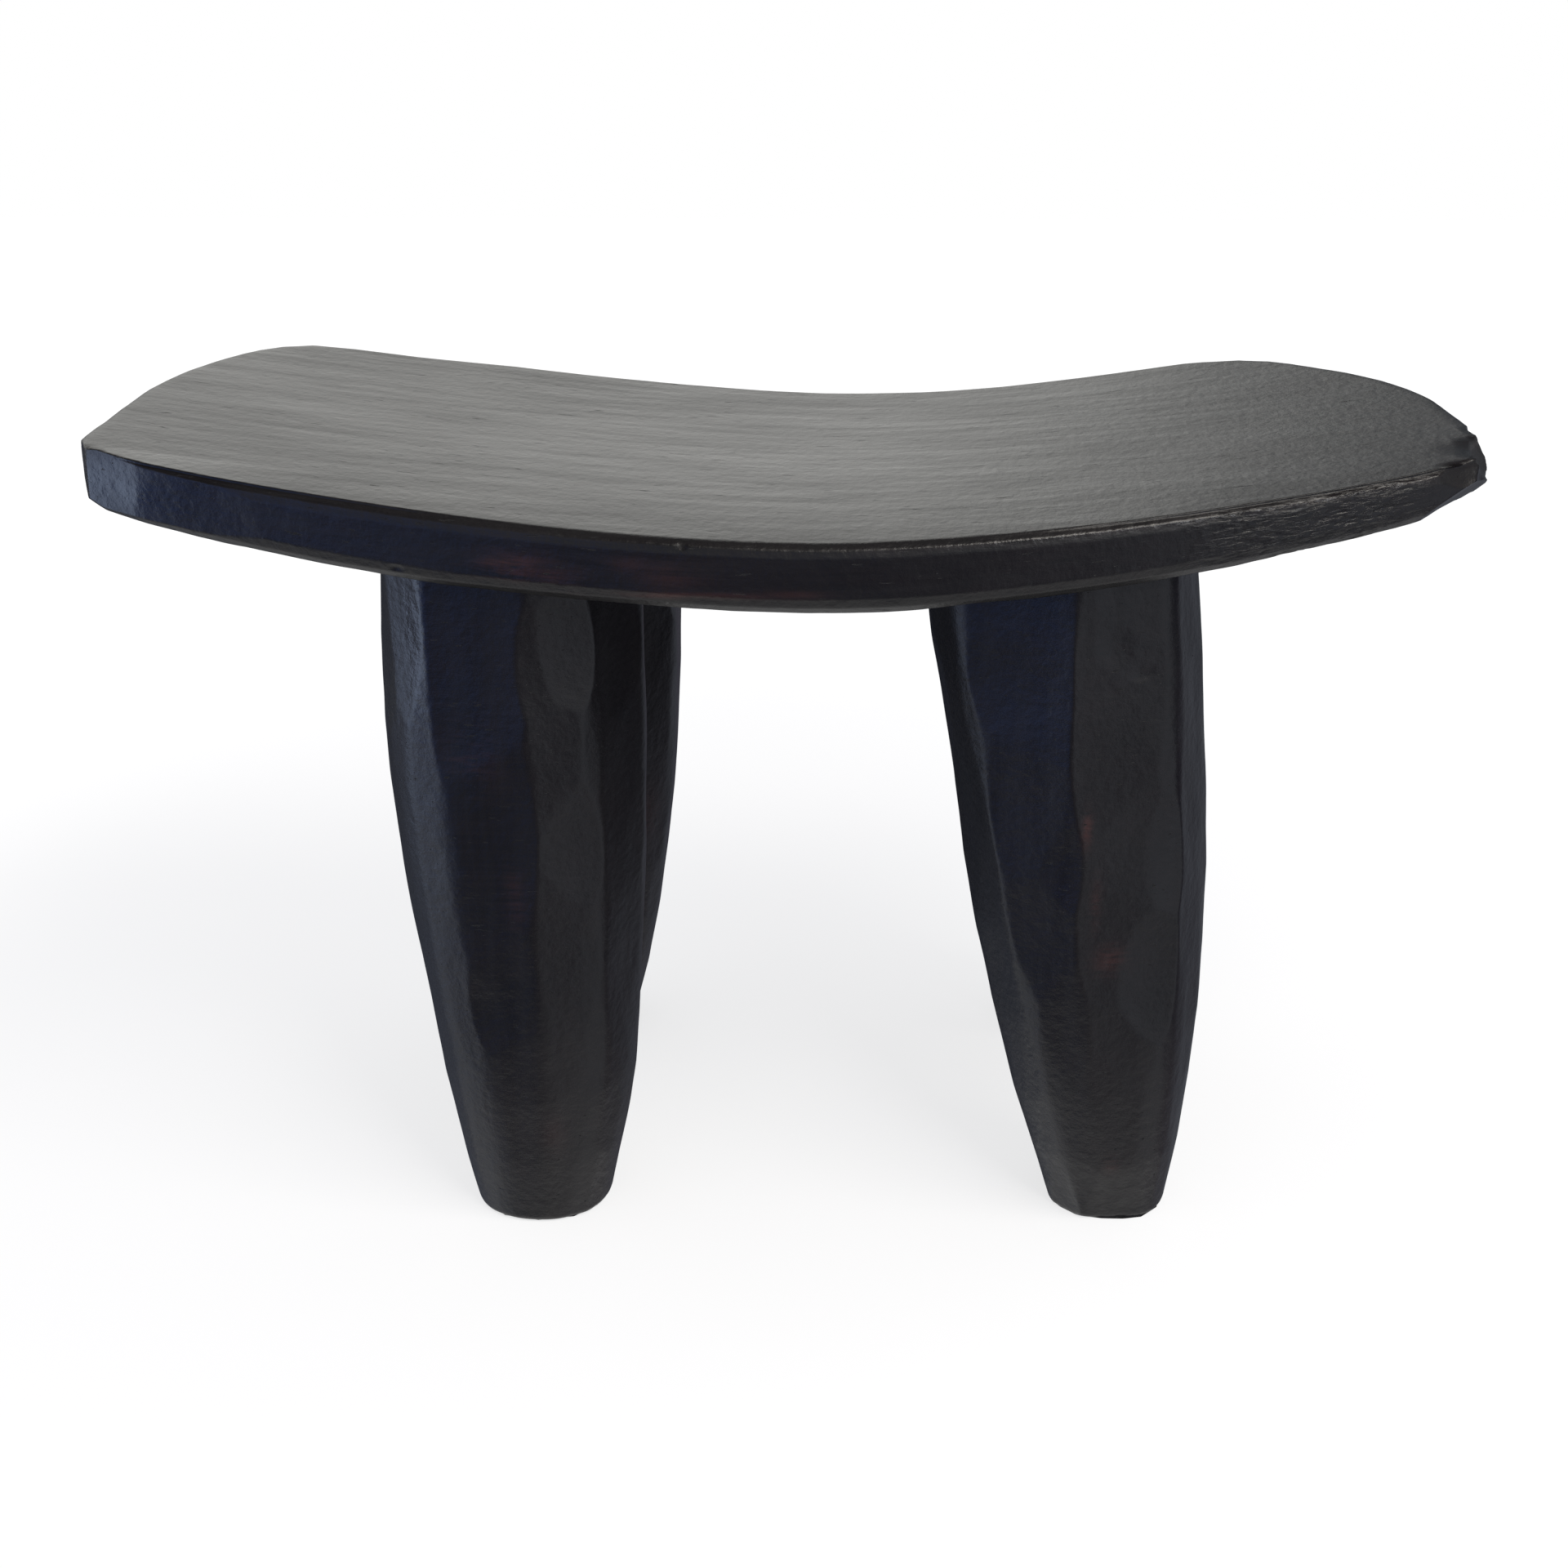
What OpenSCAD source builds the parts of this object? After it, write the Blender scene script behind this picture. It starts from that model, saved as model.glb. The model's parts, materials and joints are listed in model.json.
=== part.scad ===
// Four-legged carved bench with a dished seat. Millimetres, +Z up, front towards -Y.
// The origin is on the floor, under the middle of the seat's plan.

/* [Seat] */
// Length of the seat from end to end
seat_length = 700; // [600:5:900]
// Depth of the seat from front to back
seat_depth = 340; // [300:5:420]
// Height of the lowest line of the seat's top above the floor
seat_height = 402; // [340:2:500]
// How far the left end rises above the lowest line
left_rise = 34; // [10:1:70]
// How far the right end rises above the lowest line
right_rise = 32; // [10:1:70]
// How fast the dish curves up towards the ends
dish_power = 1.6; // [1.4:0.1:2.6]
// How far the lowest line lies right of the middle
dish_offset = 22; // [-40:2:40]
// Thickness of the seat at the lowest line
seat_thickness = 37; // [34:1:60]
// How much thinner the left end is
left_thinning = 5; // [0:1:14]
// How much thinner the right end is
right_thinning = 13; // [0:1:14]

/* [Seat outline] */
// How far the front edge falls back at its corners
front_bow = 49; // [0:1:60]
// How far the back edge falls back at its corners
back_bow = 2; // [0:1:60]
// How far the left end draws in towards the front corner
front_left_taper = 5; // [0:1:60]
// How far the right end draws in towards the front corner
front_right_taper = 1; // [0:1:60]
// How far the left end draws in towards the back corner
back_left_taper = 46; // [0:1:90]
// How far the right end draws in towards the back corner
back_right_taper = 64; // [0:1:90]
// Squareness of the corners, where a larger number is a tighter corner
corner_squareness = 17; // [6:1:22]

/* [Seat edge] */
// Width of the worn bevel along the top of the edge
bevel_width = 5; // [2:0.5:8]
// Drop of the worn bevel
bevel_drop = 4; // [2:0.5:6]
// Width of the rounded band along the bottom of the edge
round_width = 12; // [4:1:16]
// Height of the rounded band
round_height = 10; // [4:1:12]

/* [Legs] */
// Width of a leg's shoulder along the seat
shoulder_width = 137; // [110:1:150]
// Depth of a leg's shoulder from front to back
shoulder_depth = 122; // [90:1:130]
// Fullness of the leg between its foot and its shoulder, where 1 is a straight taper
leg_fullness = 2.7; // [1:0.1:4]
// Distance of the shoulders behind the front edge and before the back edge
shoulder_setback = 14; // [8:1:24]
// Number of flat cuts round a leg
leg_facets = 12; // [10:2:16]
// Squareness of a leg's section, where 2 is an oval
leg_squareness = 2.3; // [2:0.1:3]
// Bevel worn round the bottom of each foot
foot_bevel = 2; // [1:0.5:4]

/* [Left legs] */
// Distance of the front left shoulder's middle left of the seat's middle
front_left_spread = 136; // [120:1:180]
// How far the front left foot stands left of its shoulder
front_left_lean = -3; // [-40:1:40]
// How far the front left foot stands before its shoulder
front_left_stride = 14; // [-20:1:20]
// Width of the front left foot
front_left_foot = 73; // [50:1:90]
// Distance of the back left shoulder's middle left of the seat's middle
back_left_spread = 132; // [120:1:180]
// How far the back left foot stands left of its shoulder
back_left_lean = 0; // [-40:1:40]
// How far the back left foot stands behind its shoulder
back_left_stride = 8; // [-20:1:20]
// Width of the back left foot
back_left_foot = 56; // [50:1:90]

/* [Right legs] */
// Distance of the front right shoulder's middle right of the seat's middle
front_right_spread = 146; // [120:1:180]
// How far the front right foot stands right of its shoulder
front_right_lean = 42; // [-40:1:60]
// How far the front right foot stands before its shoulder
front_right_stride = 11; // [-20:1:20]
// Width of the front right foot
front_right_foot = 61; // [50:1:90]
// Distance of the back right shoulder's middle right of the seat's middle
back_right_spread = 158; // [120:1:180]
// How far the back right foot stands right of its shoulder
back_right_lean = 24; // [-40:1:60]
// How far the back right foot stands behind its shoulder
back_right_stride = 8; // [-20:1:20]
// Width of the back right foot
back_right_foot = 58; // [50:1:90]

/* [Joints] */
// Diameter of the round tenon on top of each leg
tenon_diameter = 46; // [30:1:60]
// Length of the tenon above the seat's underside
tenon_length = 18; // [10:1:20]
// Gap all round the tenon in its socket
tenon_clearance = 0.2; // [0.1:0.05:0.5]
// Space left above the tenon's end
end_clearance = 2; // [1:0.5:3]
// Gap between a leg's shoulder and the seat's underside
shoulder_clearance = 0.15; // [0.1:0.05:0.5]

/* [Hidden] */
stain = [0.13, 0.09, 0.08];
half_length = seat_length / 2;
half_depth = seat_depth / 2;
rim_step = 3;
rim_count = 360 / rim_step;
slab_steps = 56;
slab_margin = 12;
cap_height = 40;
foot_level = 0;
leg_levels = 10;
tenon_root = 12;
round_fn = 96;

// The dish, as a share from 0 at its lowest line to 1 at either end
function dish_share(x) =
    x < dish_offset
    ? (dish_offset - x) / (half_length + dish_offset)
    : (x - dish_offset) / (half_length - dish_offset);
function thinning(x) = x < dish_offset ? left_thinning : right_thinning;
function rise(x) = x < dish_offset ? left_rise : right_rise;
function seat_top(x) = seat_height + rise(x) * pow(dish_share(x), dish_power);
function seat_under(x) = seat_top(x) - seat_thickness + thinning(x) * pow(dish_share(x), 2);

// The rim in plan: a rounded rectangle with bowed long edges and drawn-in ends
function rim_reach(a) =
    pow(pow(abs(cos(a)), corner_squareness) + pow(abs(sin(a)), corner_squareness), -1 / corner_squareness);
function rim_point(a) =
    let (u = rim_reach(a) * cos(a),
         v = rim_reach(a) * sin(a),
         front_taper = u < 0 ? front_left_taper : front_right_taper,
         back_taper = u < 0 ? back_left_taper : back_right_taper,
         taper = v < 0 ? front_taper : back_taper,
         bow = v < 0 ? front_bow : back_bow)
    [u * (half_length - taper * v * v), v * (half_depth - bow * u * u)];
function rim_inward(a) =
    let (along = rim_point(a + 1) - rim_point(a - 1))
    [-along[1], along[0]] / norm(along);
function rim_inset(a, inset) = rim_point(a) + inset * rim_inward(a);

// One ring of the edge: inset from the rim, height above the top or the underside
function edge_ring(inset, from_top, lift) = [
    for (i = [0 : rim_count - 1])
        let (p = rim_inset(i * rim_step, inset),
             base = from_top ? seat_top(p[0]) : seat_under(p[0]))
        [p[0], p[1], base + lift]
];

// A closed skin over rings of equal size, from the lowest to the highest, with a point over each end
function ring_skin(count, rings) = concat(
    [for (i = [0 : count - 1]) [0, 1 + i, 1 + (i + 1) % count]],
    [for (r = [0 : rings - 2], i = [0 : count - 1])
        let (a = 1 + r * count + i, b = 1 + r * count + (i + 1) % count)
        [a, b + count, b]],
    [for (r = [0 : rings - 2], i = [0 : count - 1])
        let (a = 1 + r * count + i, b = 1 + r * count + (i + 1) % count)
        [a, a + count, b + count]],
    [for (i = [0 : count - 1])
        let (first = 1 + (rings - 1) * count)
        [first + i, 1 + rings * count, first + (i + 1) % count]]
);

// The seat's edge profile, open above and below the slab that it trims
module edge_profile() {
    rings = [
        edge_ring(round_width * 1.3, false, -round_height * 0.3),
        edge_ring(round_width * 0.5, false, round_height * 0.13),
        edge_ring(round_width * 0.15, false, round_height * 0.5),
        edge_ring(0, false, round_height),
        edge_ring(0, true, -bevel_drop * 1.6),
        edge_ring(bevel_width * 0.25, true, -bevel_drop * 0.6),
        edge_ring(bevel_width * 1.75, true, bevel_drop * 0.6)
    ];
    points = concat(
        [[0, 0, seat_under(0) - seat_thickness - cap_height]],
        [for (ring = rings) each ring],
        [[0, 0, seat_top(half_length) + cap_height]]
    );
    polyhedron(points = points, faces = ring_skin(rim_count, len(rings)), convexity = 4);
}

function slab_x(i) = -half_length - slab_margin + i * (seat_length + 2 * slab_margin) / slab_steps;

// A block as deep as the seat with the side view that the points give
module side_block(points) {
    rotate([90, 0, 0])
        linear_extrude(height = seat_depth + 2 * slab_margin, center = true)
            polygon(points);
}

module dished_slab() {
    side_block(concat(
        [for (i = [0 : slab_steps]) [slab_x(i), seat_under(slab_x(i))]],
        [for (i = [slab_steps : -1 : 0]) [slab_x(i), seat_top(slab_x(i))]]
    ));
}

// Everything below the seat, less the clearance of the shoulders
module space_under_seat() {
    side_block(concat(
        [for (i = [0 : slab_steps]) [slab_x(i), seat_under(slab_x(i)) - shoulder_clearance]],
        [[slab_x(slab_steps), foot_level - slab_margin], [slab_x(0), foot_level - slab_margin]]
    ));
}

// Where a shoulder's middle lies behind the front edge, or before the back edge
function front_shoulder_y(x) =
    -(half_depth - front_bow * pow(x / half_length, 2) - shoulder_setback - shoulder_depth / 2);
function back_shoulder_y(x) =
    half_depth - back_bow * pow(x / half_length, 2) - shoulder_setback - shoulder_depth / 2;

// One leg is given by [x of its shoulder, y of its shoulder, x of its foot, y of its foot, width of its foot]
front_left = [
    -front_left_spread, front_shoulder_y(front_left_spread),
    -front_left_spread - front_left_lean, front_shoulder_y(front_left_spread) - front_left_stride,
    front_left_foot
];
front_right = [
    front_right_spread, front_shoulder_y(front_right_spread),
    front_right_spread + front_right_lean, front_shoulder_y(front_right_spread) - front_right_stride,
    front_right_foot
];
back_left = [
    -back_left_spread, back_shoulder_y(back_left_spread),
    -back_left_spread - back_left_lean, back_shoulder_y(back_left_spread) + back_left_stride,
    back_left_foot
];
back_right = [
    back_right_spread, back_shoulder_y(back_right_spread),
    back_right_spread + back_right_lean, back_shoulder_y(back_right_spread) + back_right_stride,
    back_right_foot
];
legs = [front_left, front_right, back_left, back_right];

// A leg swells quickly above its foot and slowly below its shoulder
function swell(share) = 1 - pow(1 - min(1, share), leg_fullness);
function section_point(a, width, depth) = [
    width / 2 * sign(cos(a)) * pow(abs(cos(a)), 2 / leg_squareness),
    depth / 2 * sign(sin(a)) * pow(abs(sin(a)), 2 / leg_squareness)
];
function leg_ring(leg, z, trim) =
    let (share = z / seat_under(leg[0]),
         x = leg[2] + (leg[0] - leg[2]) * share,
         y = leg[3] + (leg[1] - leg[3]) * share,
         width = leg[4] + (shoulder_width - leg[4]) * swell(share) - 2 * trim,
         depth = leg[4] + (shoulder_depth - leg[4]) * swell(share) - 2 * trim)
    [for (i = [0 : leg_facets - 1])
        let (p = section_point(-90 + i * 360 / leg_facets, width, depth))
        [x + p[0], y + p[1], z]];

// The leg before its top is cut to the seat: it runs on through the seat's thickness
module leg_blank(leg) {
    top = seat_under(leg[0]) + seat_thickness;
    rings = concat(
        [leg_ring(leg, foot_level, foot_bevel)],
        [leg_ring(leg, foot_level + foot_bevel, 0)],
        [for (i = [1 : leg_levels]) leg_ring(leg, top * i / leg_levels, 0)]
    );
    points = concat(
        [[leg[2], leg[3], foot_level]],
        [for (ring = rings) each ring],
        [[leg[0], leg[1], top]]
    );
    polyhedron(points = points, faces = ring_skin(leg_facets, len(rings)), convexity = 4);
}

module tenon(leg) {
    translate([leg[0], leg[1], seat_under(leg[0]) - tenon_root])
        cylinder(d = tenon_diameter, h = tenon_root + tenon_length, $fn = round_fn);
}

module socket(leg) {
    translate([leg[0], leg[1], seat_under(leg[0]) - tenon_root])
        cylinder(d = tenon_diameter + 2 * tenon_clearance,
                 h = tenon_root + tenon_length + end_clearance, $fn = round_fn);
}

module leg(leg) {
    color(stain) {
        intersection() {
            leg_blank(leg);
            space_under_seat();
        }
        tenon(leg);
    }
}

module seat() {
    color(stain)
        difference() {
            intersection() {
                dished_slab();
                edge_profile();
            }
            for (leg = legs)
                socket(leg);
        }
}

module front_left_leg() {
    leg(front_left);
}

module front_right_leg() {
    leg(front_right);
}

module back_left_leg() {
    leg(back_left);
}

module back_right_leg() {
    leg(back_right);
}

seat();
front_left_leg();
front_right_leg();
back_left_leg();
back_right_leg();
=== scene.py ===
# %% [markdown]
# A carved wooden bench, dressed over its measured solids.
# The real bench is hewn from dark hardwood with an adze: a dished seat on four stout, tapering legs,
# stained nearly black, waxed, and worn by years of sitting. The solids that the frame brings hold its
# sizes. This lesson gives each of the five pieces its carved surface and its finish.

# %% Load the frame
import json
import math
from functools import partial

import bpy
import numpy
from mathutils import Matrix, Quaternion, Vector
from mathutils.bvhtree import BVHTree

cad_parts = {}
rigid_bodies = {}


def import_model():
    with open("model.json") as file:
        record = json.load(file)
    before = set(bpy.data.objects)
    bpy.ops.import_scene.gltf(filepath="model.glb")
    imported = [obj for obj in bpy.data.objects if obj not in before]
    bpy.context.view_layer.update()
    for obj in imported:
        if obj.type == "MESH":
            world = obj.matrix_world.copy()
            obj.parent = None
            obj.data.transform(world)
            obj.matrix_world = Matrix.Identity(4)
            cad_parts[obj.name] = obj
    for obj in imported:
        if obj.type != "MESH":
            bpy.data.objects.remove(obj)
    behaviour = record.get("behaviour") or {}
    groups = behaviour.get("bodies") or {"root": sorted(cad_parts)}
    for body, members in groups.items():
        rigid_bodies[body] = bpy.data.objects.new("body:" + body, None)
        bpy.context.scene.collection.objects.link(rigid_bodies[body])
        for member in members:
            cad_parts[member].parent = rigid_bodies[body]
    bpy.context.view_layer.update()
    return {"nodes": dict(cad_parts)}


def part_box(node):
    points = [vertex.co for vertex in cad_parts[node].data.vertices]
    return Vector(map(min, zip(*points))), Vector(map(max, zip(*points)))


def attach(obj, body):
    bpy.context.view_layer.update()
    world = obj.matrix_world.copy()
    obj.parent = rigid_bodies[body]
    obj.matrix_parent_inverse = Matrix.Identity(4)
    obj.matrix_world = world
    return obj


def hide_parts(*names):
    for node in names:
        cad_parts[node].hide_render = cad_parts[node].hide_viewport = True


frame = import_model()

MM = 0.001
print("pieces in the frame:", sorted(frame["nodes"]))

# %% [markdown]
# The camera stands where the photograph was taken from: just right of the middle and a little above
# the seat, about 1.2 m away. These angles and the lens were found by fitting the seat's rim and the
# legs' outlines, so the scene needs no shift.

# %% Camera
VIEW_AZIMUTH = math.radians(2.07)
VIEW_ELEVATION = math.radians(22.77)
VIEW_DISTANCE = 1.2
VIEW_ROLL = math.radians(-0.19)
VIEW_TARGET = Vector((0.5, 0, 208.9)) * MM
LENS_MM = 47.5

towards_camera = Vector((
    math.sin(VIEW_AZIMUTH) * math.cos(VIEW_ELEVATION),
    -math.cos(VIEW_AZIMUTH) * math.cos(VIEW_ELEVATION),
    math.sin(VIEW_ELEVATION),
))
camera = bpy.data.objects.new("camera", bpy.data.cameras.new("camera"))
camera.data.lens = LENS_MM
camera.location = VIEW_TARGET + VIEW_DISTANCE * towards_camera
camera.rotation_mode = "QUATERNION"
camera.rotation_quaternion = (
    towards_camera.to_track_quat("Z", "Y") @ Quaternion((0, 0, 1), VIEW_ROLL)
)
bpy.context.scene.collection.objects.link(camera)
bpy.context.scene.camera = camera
bpy.context.scene.view_settings.view_transform = "Standard"
print("camera at", [round(c, 3) for c in camera.location])

# %% [markdown]
# Every tree of nodes in this lesson, for light, wood or carving, is built by one small function. It
# adds a node, sets its properties and fills its inputs with values or with other nodes' outputs.
# Colours are written as a painter's hex codes and turned into the linear numbers that light needs.

# %% Helpers for nodes and colours
def add(tree, kind, *values, **named):
    """Add a node and return its outputs.

    Plain values fill its inputs in their order. A named value fills the input of that name, or else
    sets the node's own property. A value may be another node's outputs, or a list for a joining input.
    """
    node = tree.nodes.new(kind)
    labels = [socket.name.lower().replace(" ", "_") for socket in node.inputs]
    for name, value in named.items():
        if name not in labels:
            setattr(node, name, value)
    fills = list(zip([socket for socket in node.inputs if socket.enabled], values))
    for label, socket in zip(labels, node.inputs):
        if label in named and socket.enabled:
            fills.append((socket, named[label]))
    for socket, value in fills:
        for source in value if isinstance(value, list) else [value]:
            if isinstance(source, bpy.types.bpy_prop_collection):
                source = next(output for output in source if output.enabled)
            if isinstance(source, bpy.types.NodeSocket):
                tree.links.new(source, socket)
            else:
                socket.default_value = source
    return node.outputs


def colour(code, strength=1.0):
    """An sRGB hex colour as linear red, green, blue and alpha."""
    shares = [int(code[i:i + 2], 16) / 255 for i in (1, 3, 5)]
    linear = [s / 12.92 if s <= 0.04045 else ((s + 0.055) / 1.055) ** 2.4 for s in shares]
    return (*(strength * s for s in linear), 1.0)


def cleared(owner):
    """Clear the nodes of a world or a material, and return add for its tree."""
    owner.use_nodes = True
    owner.node_tree.nodes.clear()
    return partial(add, owner.node_tree)


def rays_of(put, *kinds):
    """1 for rays of light of any of these kinds, else 0."""
    path = put("ShaderNodeLightPath")
    found = path[kinds[0]]
    for kind in kinds[1:]:
        found = put("ShaderNodeMath", found, path[kind], operation="MAXIMUM")
    return found


# %% [markdown]
# The studio is a white paper sweep in a room. The eye sees plain white behind the bench. Dark waxed
# wood, though, is drawn by what it mirrors, so mirror rays see the room as it stood. The room is a
# list of soft patches laid over one another: paper behind, a bluish window on the left, a pale wall on
# the right, floor underneath. All other rays see one plain soft light.

# %% World
SOFT_LIGHT = "#f6f7ff"
SOFT_STRENGTH = 0.62
WHITE = "#ffffff"
WALLS = "#9c9ea2"
# Each patch: the direction of its middle, the angles from there where it starts to fade and where it
# is gone, its colour and its strength
ROOM = {
    "dim floor all round": ((0, 0, -1), 78, 97, "#554e5d", 1.0),
    "dim ceiling": ((0, 0, 1), 48, 62, "#4c494c", 1.0),
    "paper sweep behind": ((-0.50, 0.85, 0.20), 36, 48, "#f4f4f0", 1.72),
    "end of the paper on the right": ((0.45, 0.85, 0.25), 14, 27, "#6d7379", 1.0),
    "bench's shadow on the sweep": ((-0.48, 0.74, -0.48), 28, 42, "#3c404c", 1.0),
    "low light behind on the right": ((0.62, 0.70, -0.40), 10, 25, "#8a8f9a", 1.0),
    "bluish room in front on the left": ((-0.70, -0.70, -0.05), 10, 36, "#86a4f4", 1.1),
    "dim floor on the left": ((-0.66, 0.35, -0.66), 14, 28, "#6a7080", 1.0),
    "pale floor on the left": ((-0.76, -0.28, -0.60), 11, 24, "#dfe3ec", 1.1),
    "dark corner on the left": ((-0.58, -0.67, -0.47), 6, 17, "#101c48", 1.0),
    "dark corner in front": ((-0.38, -0.64, -0.68), 12, 30, "#101a38", 1.0),
    "window on the left": ((-0.96, -0.14, -0.15), 9, 19, "#c8dbff", 3.0),
    "pale wall on the right": ((0.76, -0.60, -0.25), 12, 32, "#c6ccd8", 1.0),
    "lighter wall further up": ((0.62, -0.78, 0.06), 8, 20, "#dfe3ee", 0.85),
    "shade between the legs": ((0.98, 0.00, -0.12), 8, 22, "#0e1a3c", 1.0),
    "floor close by": ((0, 0, -1), 36, 51, "#e2e2e2", 1.0),
}


def studio_world():
    world = bpy.data.worlds.new("white_paper_studio")
    put = cleared(world)
    way = put("ShaderNodeTexCoord")["Generated"]
    room = colour(WALLS)
    for direction, fades, gone, code, strength in ROOM.values():
        near = put("ShaderNodeVectorMath", way, Vector(direction).normalized(), operation="DOT_PRODUCT")
        none, full = (math.cos(math.radians(angle)) for angle in (gone, fades))
        share = put("ShaderNodeMapRange", near, none, full, interpolation_type="SMOOTHSTEP")
        room = put("ShaderNodeMix", share, room, colour(code, strength), data_type="RGBA")
    seen = rays_of(put, "Is Camera Ray", "Is Transmission Ray")
    view = put("ShaderNodeMix", seen, room, colour(WHITE), data_type="RGBA")
    backdrop = put("ShaderNodeBackground", view, 1.0)
    soft = put("ShaderNodeBackground", colour(SOFT_LIGHT), SOFT_STRENGTH)
    seen_or_mirrored = rays_of(put, "Is Camera Ray", "Is Transmission Ray", "Is Glossy Ray")
    both = put("ShaderNodeMixShader", seen_or_mirrored, soft, backdrop)
    put("ShaderNodeOutputWorld", both)
    return world


bpy.context.scene.world = studio_world()
print("the room has", len(ROOM), "patches of light and shade")

# %% [markdown]
# The floor is the same white paper. Near the bench a share of it is plain lit paper, which keeps the
# bench's soft shadow, and further out its white is its own, so it meets the background without a
# line. Mirror rays pass it by, because the room above already holds the floor's tone.

# %% Floor
# Lengths in metres
FLOOR_SIZE = 8.0
PAPER_WHITE = 1.1
SHADOW_SHARE = 0.35
SHADOW_START = 0.5
SHADOW_END = 1.3


def paper_material():
    material = bpy.data.materials.new("matt_white_backdrop_paper")
    put = cleared(material)
    seen = rays_of(put, "Is Camera Ray", "Is Transmission Ray", "Is Glossy Ray")
    reach = put("ShaderNodeVectorMath", put("ShaderNodeTexCoord")["Object"], operation="LENGTH")
    own_white = put(
        "ShaderNodeMapRange", reach, SHADOW_START, SHADOW_END, 1 - SHADOW_SHARE, 1.0,
        interpolation_type="SMOOTHSTEP",
    )
    glow_share = put("ShaderNodeMath", seen, own_white, operation="MULTIPLY")
    lit = put("ShaderNodeBsdfDiffuse", colour(WHITE))
    glow = put("ShaderNodeEmission", colour(WHITE), PAPER_WHITE)
    put("ShaderNodeOutputMaterial", put("ShaderNodeMixShader", glow_share, lit, glow))
    return material


half = FLOOR_SIZE / 2
floor_mesh = bpy.data.meshes.new("floor")
floor_mesh.from_pydata(
    [(-half, -half, 0), (half, -half, 0), (half, half, 0), (-half, half, 0)], [], [(0, 1, 2, 3)],
)
floor_mesh.materials.append(paper_material())
floor = bpy.data.objects.new("floor", floor_mesh)
floor.visible_glossy = False
bpy.context.scene.collection.objects.link(floor)

# %% [markdown]
# Two soft lamps: a long one overhead towards the right front, which shapes the legs, and a narrow
# strip in front on the right. Both draw the bright line along the worn arris of the seat.

# %% Lamps
def lamp(name, place, target, size, power, code):
    """A soft lamp at a place, turned to its target: its length and width in metres, its watts."""
    data = bpy.data.lights.new(name, "AREA")
    data.shape = "RECTANGLE"
    data.size, data.size_y = size
    data.energy = power
    data.color = colour(code)[:3]
    light = bpy.data.objects.new(name, data)
    light.location = place
    light.rotation_mode = "QUATERNION"
    light.rotation_quaternion = (Vector(place) - Vector(target)).to_track_quat("Z", "Y")
    bpy.context.scene.collection.objects.link(light)
    print(name, power, "W")


lamp("overhead_softbox", (0.9, -0.9, 2.1), (0, 0, 0.25), (1.4, 0.5), 22, "#fffaf2")
lamp("front_strip", (1.0, -1.7, 1.55), (0.15, -0.15, 0.4), (0.6, 0.12), 5, "#fbfcff")

# %% [markdown]
# The wood is a dense hardwood, hand hewn, stained with a dark brown dye and rubbed with wax. The stain
# makes it nearly black and the wax gives it a satin sheen, smoother in some streaks than in others.
# Wear changes both: the arris that hands and clothes rub is shinier, and paler along a line that is
# partly worn wood and partly a painted highlight. A few rubbed places show the red heartwood, weather
# has opened the grain at the right end, and the lower legs are painted paler towards the floor, a
# painted reflection of it. The grain runs along the seat and through the legs, as in a bench cut from
# one block, and on the seat it follows the dish. So one material serves all pieces, and reads its
# marks of wear and of painted light from each piece's own attributes.

# %% Stained wood
STAIN_DARK = "#09080a"
STAIN_LIGHT = "#120e10"
HEARTWOOD = "#3c1d1a"
# Paler wood on worn rims; along the seat's arris it is also a painted highlight
WORN_AND_HIGHLIT_WOOD = "#221e1f"
# Painted reflection of the pale floor, laid on the lower legs
FLOOR_REFLECTION_TONE = "#2b2928"
CRACK = "#060404"

# Each figure of the wood: its cells along the grain and across it in millimetres, and its detail.
# Real pores are about 0.2 mm wide, and are drawn coarser so that they show.
FIGURES = {
    "grain": (90, 2.2, 5.0), "patches": (45, 45, 3.0), "pores": (7, 0.7, 2.0),
    "checks": (16, 1.6, 2.0), "splits": (20, 1.3, 3.0), "tool marks": (5, 5, 3.0),
}
STREAKS = (100, 9, 4.0, 0.6)
# The values of its noise between which each of these goes from none to full
SPANS = {
    "stain": (0.38, 0.64), "heartwood": (0.40, 0.56), "dust": (0.3, 0.7), "worn": (0.40, 0.60),
    "crack": (0.70, 0.74), "split": (0.52, 0.40), "dull wax": (0.34, 0.66),
}
SMOOTH_WAX = 0.37
DULL_WAX = 0.45
DULL_CRACK = 0.3
POLISH = 0.18
WOOD_IOR = 1.5
GRAIN_RELIEF = 0.25 * MM
RELIEF_STRENGTH = 0.45
# How high these stand beside the grain lines, or how deep they are
TOOL_MARK_HEIGHT = 4.0
CRACK_DEPTH = 2.0
SPLIT_DEPTH = 2.5


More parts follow.
